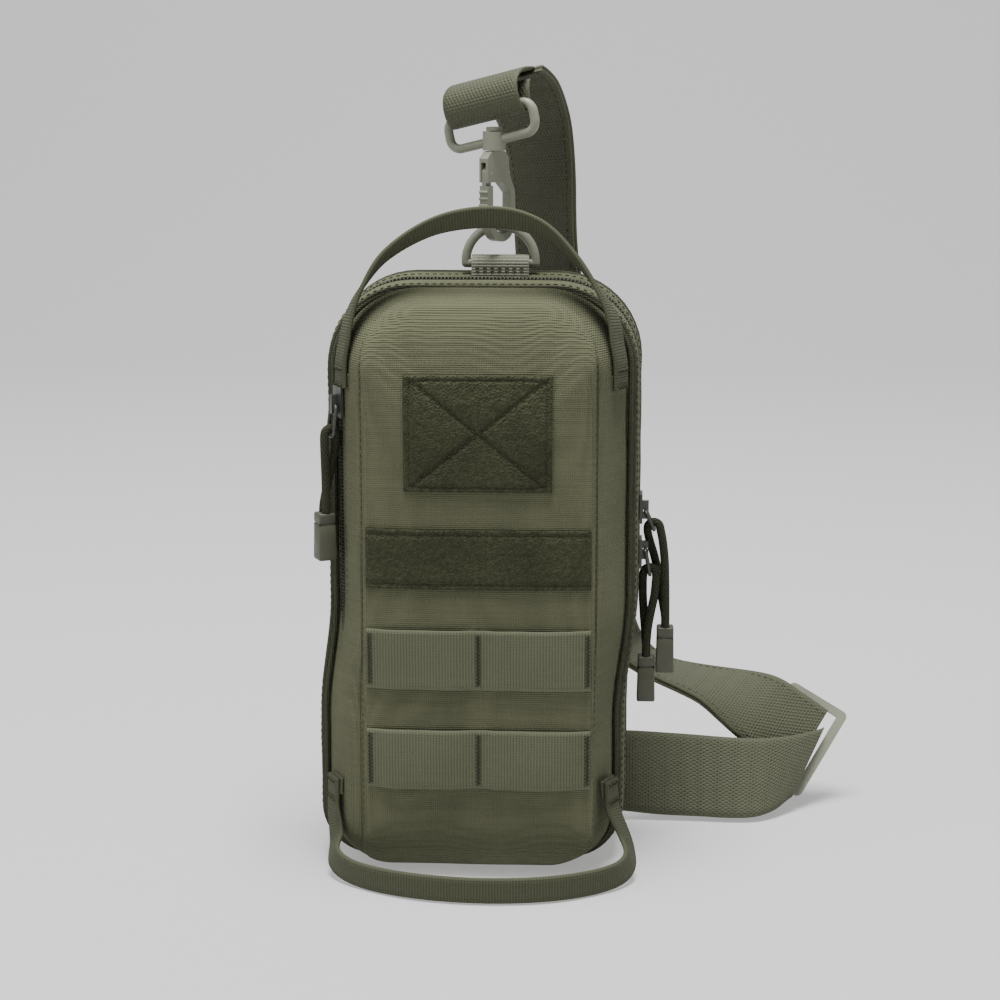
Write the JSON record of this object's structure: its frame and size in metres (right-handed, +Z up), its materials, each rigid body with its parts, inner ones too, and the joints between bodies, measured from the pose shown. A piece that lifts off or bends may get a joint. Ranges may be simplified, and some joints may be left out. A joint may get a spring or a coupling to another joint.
{
  "type": "sling bag",
  "caption": "Small upright sling bag with a zipped clamshell body, front pocket, webbing rows, two handles, and a shoulder strap hooked to its D-ring.",
  "frame": {"origin": "middle of the flat base that the bag stands on, under the main compartment", "axes": "X to the right as seen from the front, Y to the back, Z up"},
  "size_m": [0.2392, 0.1697, 0.3436],
  "materials": {
    "shell_fabric": "plain weave nylon, olive drab",
    "lining_fabric": "dark lining",
    "mesh_fabric": "spacer mesh",
    "webbing": "ribbed webbing",
    "strap_webbing": "38 mm webbing with a raised diagonal weave",
    "loop_pile": "hook-and-loop pile",
    "zip_tape": "zip tape",
    "zip_coil": "coil teeth",
    "hardware": "satin olive paint",
    "pull_metal": "dark paint",
    "spring_steel": "plain",
    "cord": "braided cord",
    "cord_end": "moulded"
  },
  "bodies": {
    "rear_half": {"back_panel": "shell_fabric", "back_mesh": "mesh_fabric", "back_lining": "lining_fabric", "rear_binding": "webbing", "rear_gusset": "shell_fabric", "rear_zip_tape": "zip_tape", "rear_zip_coil": "zip_coil", "inner_pocket": "lining_fabric", "d_ring_tab": "webbing", "strap_anchor": "webbing", "strap_lower": "strap_webbing", "strap_upper": "strap_webbing", "strap_hook_fold": "strap_webbing"},
    "d_ring": {"d_ring": "hardware"},
    "swivel_ring": {"swivel_ring": "hardware"},
    "hook": {"hook_body": "hardware", "gate_pin": "spring_steel", "gate_spring": "spring_steel"},
    "gate": {"hook_gate": "hardware"},
    "strap_slider": {"strap_slider": "hardware"},
    "front_half": {"front_gusset": "shell_fabric", "front_zip_tape": "zip_tape", "front_zip_coil": "zip_coil", "divider": "lining_fabric", "pocket_gusset": "shell_fabric", "pocket_binding": "webbing", "pocket_zip_tape": "zip_tape", "pocket_zip_coil": "zip_coil", "front_panel": "shell_fabric", "patch_panel": "loop_pile", "loop_strip": "loop_pile", "molle_upper": "webbing", "molle_lower": "webbing", "bar_tacks": "webbing", "handle_ends": "webbing"},
    "top_handle": {"top_handle": "webbing"},
    "bottom_handle": {"bottom_handle": "webbing"},
    "pocket_slider": {"pocket_slider": "pull_metal"},
    "pocket_pull": {"pocket_pull_ring": "pull_metal", "pocket_pull_cord": "cord", "pocket_cord_end": "cord_end"},
    "upper_slider": {"upper_slider": "pull_metal"},
    "upper_pull": {"upper_pull_ring": "pull_metal", "upper_pull_cord": "cord", "upper_cord_end": "cord_end"},
    "lower_slider": {"lower_slider": "pull_metal"},
    "lower_pull": {"lower_pull_ring": "pull_metal", "lower_pull_cord": "cord", "lower_cord_end": "cord_end"}
  },
  "joints": [
    {"name": "front_open", "type": "hinge", "parent": "rear_half", "child": "front_half", "pos_m": [0, 0.0078, 0], "axis": [1, 0, 0], "range_deg": [0, 75]},
    {"name": "swivel_ring_swing", "type": "hinge", "parent": "rear_half", "child": "swivel_ring", "pos_m": [0.00088, 0.01885, 0.32418], "axis": [0.8602, -0.4601, 0.22], "range_deg": [-1, 3]},
    {"name": "d_ring_swing", "type": "hinge", "parent": "rear_half", "child": "d_ring", "pos_m": [0.006, 0.02, 0.259], "axis": [1, 0, 0], "range_deg": [-8.2, 2.8]},
    {"name": "hook_swivel", "type": "hinge", "parent": "swivel_ring", "child": "hook", "pos_m": [0.0034, 0.0175, 0.3115], "axis": [0, 0, 1], "range_deg": [-2, 25]},
    {"name": "gate_open", "type": "hinge", "parent": "hook", "child": "gate", "pos_m": [0.00082, 0.01381, 0.298], "axis": [0.8192, -0.5736, 0], "range_deg": [0, 22], "stiffness_Nm_per_rad": 0.04, "springref_deg": -17.19},
    {"name": "strap_slider_slide", "type": "slide", "parent": "rear_half", "child": "strap_slider", "axis": [-0.8574, 0.1881, 0.4791], "range_m": [0, 0.005]},
    {"name": "top_handle_fold", "type": "hinge", "parent": "front_half", "child": "top_handle", "pos_m": [0, -0.0267, 0.222], "axis": [1, 0, 0], "range_deg": [-4, 75]},
    {"name": "bottom_handle_lift", "type": "hinge", "parent": "front_half", "child": "bottom_handle", "pos_m": [0, -0.0267, 0.03], "axis": [-1, 0, 0], "range_deg": [0, 70]},
    {"name": "pocket_slider_slide", "type": "slide", "parent": "front_half", "child": "pocket_slider", "axis": [0, 0, -1], "range_m": [0, 0.1]},
    {"name": "upper_slider_slide", "type": "slide", "parent": "rear_half", "child": "upper_slider", "axis": [0, 0, 1], "range_m": [0, 0.06]},
    {"name": "lower_slider_slide", "type": "slide", "parent": "rear_half", "child": "lower_slider", "axis": [0, 0, -1], "range_m": [0, 0.1]},
    {"name": "pocket_pull_swing", "type": "hinge", "parent": "pocket_slider", "child": "pocket_pull", "pos_m": [-0.0623, -0.02283, 0.2025], "axis": [-0.448, 0.894, 0], "range_deg": [0, 110], "deforming": ["pocket_pull_cord"]},
    {"name": "upper_pull_swing", "type": "hinge", "parent": "upper_slider", "child": "upper_pull", "pos_m": [0.07, 0.0078, 0.1525], "axis": [0, -1, 0], "range_deg": [0, 80], "deforming": ["upper_pull_cord"]},
    {"name": "lower_pull_swing", "type": "hinge", "parent": "lower_slider", "child": "lower_pull", "pos_m": [0.07, 0.0078, 0.1355], "axis": [0, -1, 0], "range_deg": [0, 80], "deforming": ["lower_pull_cord"]}
  ],
  "couplings": [
    {"joint": "d_ring_swing", "follows": "swivel_ring_swing", "ratio": -2.69},
    {"joint": "upper_pull_swing", "follows": "lower_pull_swing", "ratio": 1}
  ]
}
